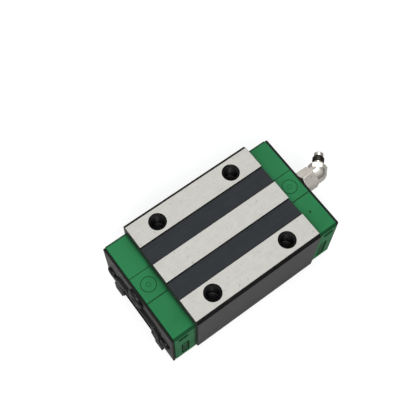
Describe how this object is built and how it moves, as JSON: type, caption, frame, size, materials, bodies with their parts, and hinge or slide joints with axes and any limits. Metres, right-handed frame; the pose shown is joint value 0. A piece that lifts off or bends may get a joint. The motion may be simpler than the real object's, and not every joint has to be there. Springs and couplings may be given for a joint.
{
  "type": "linear guide carriage",
  "caption": "Square linear guide carriage: steel block with tapped holes, plastic end caps, seals, elbow grease nipple and four rows of recirculating balls for a profile rail.",
  "frame": {"origin": "centre of the ground top mounting face of the steel block", "axes": "+Z out of the mounting face, +X along the rail towards the end with the grease nipple, +Y across the rail"},
  "size_m": [0.0973, 0.048, 0.0347],
  "materials": {
    "ground_steel": "fine ground top pads and sides, dark milled grooves and oiled black chamfers",
    "cap_plastic": "injection moulded green plastic, fine satin texture",
    "guide_plastic": "black moulded plastic, satin",
    "seal_rubber": "black nitrile rubber, matt",
    "seal_plate_steel": "dark grey bonded coating on a steel plate, satin",
    "black_screws": "black oxide on steel, satin",
    "retainer_sheet": "rolled stainless sheet",
    "ball_steel": "polished bearing steel",
    "nickel": "bright nickel plate",
    "spring_steel": "drawn wire"
  },
  "bodies": {
    "carriage": {"bottom_seal_left": "seal_rubber", "bottom_seal_right": "seal_rubber", "end_cap_front": "cap_plastic", "end_cap_rear": "cap_plastic", "end_screw_front_left": "black_screws", "end_screw_front_right": "black_screws", "end_screw_rear_left": "black_screws", "end_screw_rear_right": "black_screws", "end_seal_lip_front": "seal_rubber", "end_seal_lip_rear": "seal_rubber", "end_seal_plate_front": "seal_plate_steel", "end_seal_plate_rear": "seal_plate_steel", "lower_ball_retainer_left": "retainer_sheet", "lower_ball_retainer_right": "retainer_sheet", "nipple_body": "nickel", "nipple_head": "nickel", "nipple_spring": "spring_steel", "port_plug": "black_screws", "return_guide_front": "guide_plastic", "return_guide_rear": "guide_plastic", "side_ball_retainer_left": "guide_plastic", "side_ball_retainer_right": "guide_plastic", "steel_block": "ground_steel", "top_ball_retainer": "retainer_sheet"},
    "load_row_upper_left": {"load_balls_upper_left": "ball_steel"},
    "return_row_upper_left": {"return_balls_upper_left": "ball_steel"},
    "end_turn_upper_left_front": {"turn_balls_upper_left_front": "ball_steel"},
    "end_turn_upper_left_rear": {"turn_balls_upper_left_rear": "ball_steel"},
    "load_row_lower_left": {"load_balls_lower_left": "ball_steel"},
    "return_row_lower_left": {"return_balls_lower_left": "ball_steel"},
    "end_turn_lower_left_front": {"turn_balls_lower_left_front": "ball_steel"},
    "end_turn_lower_left_rear": {"turn_balls_lower_left_rear": "ball_steel"},
    "load_row_upper_right": {"load_balls_upper_right": "ball_steel"},
    "return_row_upper_right": {"return_balls_upper_right": "ball_steel"},
    "end_turn_upper_right_front": {"turn_balls_upper_right_front": "ball_steel"},
    "end_turn_upper_right_rear": {"turn_balls_upper_right_rear": "ball_steel"},
    "load_row_lower_right": {"load_balls_lower_right": "ball_steel"},
    "return_row_lower_right": {"return_balls_lower_right": "ball_steel"},
    "end_turn_lower_right_front": {"turn_balls_lower_right_front": "ball_steel"},
    "end_turn_lower_right_rear": {"turn_balls_lower_right_rear": "ball_steel"},
    "nipple_check": {"nipple_check_ball": "ball_steel"}
  },
  "joints": [
    {"name": "load_row_slide_upper_left", "type": "slide", "parent": "carriage", "child": "load_row_upper_left", "axis": [1, 0, 0], "range_m": [-0.00267, 0.00267]},
    {"name": "return_row_slide_upper_left", "type": "slide", "parent": "carriage", "child": "return_row_upper_left", "axis": [1, 0, 0], "range_m": [-0.00267, 0.00267]},
    {"name": "end_turn_upper_left_front_roll", "type": "hinge", "parent": "carriage", "child": "end_turn_upper_left_front", "pos_m": [0.02937, 0.014, -0.0168], "axis": [0, -0.7071, 0.7071], "range_deg": [-45.02, 45.02]},
    {"name": "end_turn_upper_left_rear_roll", "type": "hinge", "parent": "carriage", "child": "end_turn_upper_left_rear", "pos_m": [-0.02937, 0.014, -0.0168], "axis": [0, -0.7071, 0.7071], "range_deg": [-45.02, 45.02]},
    {"name": "load_row_slide_lower_left", "type": "slide", "parent": "carriage", "child": "load_row_lower_left", "axis": [1, 0, 0], "range_m": [-0.00267, 0.00267]},
    {"name": "return_row_slide_lower_left", "type": "slide", "parent": "carriage", "child": "return_row_lower_left", "axis": [1, 0, 0], "range_m": [-0.00267, 0.00267]},
    {"name": "end_turn_lower_left_front_roll", "type": "hinge", "parent": "carriage", "child": "end_turn_lower_left_front", "pos_m": [0.02937, 0.01488, -0.02688], "axis": [0, 0.2588, 0.9659], "range_deg": [-45.02, 45.02]},
    {"name": "end_turn_lower_left_rear_roll", "type": "hinge", "parent": "carriage", "child": "end_turn_lower_left_rear", "pos_m": [-0.02937, 0.01488, -0.02688], "axis": [0, 0.2588, 0.9659], "range_deg": [-45.02, 45.02]},
    {"name": "load_row_slide_upper_right", "type": "slide", "parent": "carriage", "child": "load_row_upper_right", "axis": [1, 0, 0], "range_m": [-0.00267, 0.00267]},
    {"name": "return_row_slide_upper_right", "type": "slide", "parent": "carriage", "child": "return_row_upper_right", "axis": [1, 0, 0], "range_m": [-0.00267, 0.00267]},
    {"name": "end_turn_upper_right_front_roll", "type": "hinge", "parent": "carriage", "child": "end_turn_upper_right_front", "pos_m": [0.02937, -0.014, -0.0168], "axis": [0, -0.7071, -0.7071], "range_deg": [-45.02, 45.02]},
    {"name": "end_turn_upper_right_rear_roll", "type": "hinge", "parent": "carriage", "child": "end_turn_upper_right_rear", "pos_m": [-0.02937, -0.014, -0.0168], "axis": [0, -0.7071, -0.7071], "range_deg": [-45.02, 45.02]},
    {"name": "load_row_slide_lower_right", "type": "slide", "parent": "carriage", "child": "load_row_lower_right", "axis": [1, 0, 0], "range_m": [-0.00267, 0.00267]},
    {"name": "return_row_slide_lower_right", "type": "slide", "parent": "carriage", "child": "return_row_lower_right", "axis": [1, 0, 0], "range_m": [-0.00267, 0.00267]},
    {"name": "end_turn_lower_right_front_roll", "type": "hinge", "parent": "carriage", "child": "end_turn_lower_right_front", "pos_m": [0.02937, -0.01488, -0.02688], "axis": [0, 0.2588, -0.9659], "range_deg": [-45.02, 45.02]},
    {"name": "end_turn_lower_right_rear_roll", "type": "hinge", "parent": "carriage", "child": "end_turn_lower_right_rear", "pos_m": [-0.02937, -0.01488, -0.02688], "axis": [0, 0.2588, -0.9659], "range_deg": [-45.02, 45.02]},
    {"name": "nipple_check_slide", "type": "slide", "parent": "carriage", "child": "nipple_check", "axis": [0.7071, 0.7071, 0], "range_m": [-0.0008, 0], "stiffness_N_per_m": 120, "deforming": ["nipple_spring"]}
  ],
  "couplings": [
    {"joint": "return_row_slide_upper_left", "follows": "load_row_slide_upper_left", "ratio": -1},
    {"joint": "end_turn_upper_left_front_roll", "follows": "load_row_slide_upper_left", "rad_per_m": 294.12},
    {"joint": "end_turn_upper_left_rear_roll", "follows": "load_row_slide_upper_left", "rad_per_m": 294.12},
    {"joint": "return_row_slide_lower_left", "follows": "load_row_slide_lower_left", "ratio": -1},
    {"joint": "end_turn_lower_left_front_roll", "follows": "load_row_slide_lower_left", "rad_per_m": 294.12},
    {"joint": "end_turn_lower_left_rear_roll", "follows": "load_row_slide_lower_left", "rad_per_m": 294.12},
    {"joint": "return_row_slide_upper_right", "follows": "load_row_slide_upper_right", "ratio": -1},
    {"joint": "end_turn_upper_right_front_roll", "follows": "load_row_slide_upper_right", "rad_per_m": 294.12},
    {"joint": "end_turn_upper_right_rear_roll", "follows": "load_row_slide_upper_right", "rad_per_m": 294.12},
    {"joint": "return_row_slide_lower_right", "follows": "load_row_slide_lower_right", "ratio": -1},
    {"joint": "end_turn_lower_right_front_roll", "follows": "load_row_slide_lower_right", "rad_per_m": 294.12},
    {"joint": "end_turn_lower_right_rear_roll", "follows": "load_row_slide_lower_right", "rad_per_m": 294.12}
  ]
}
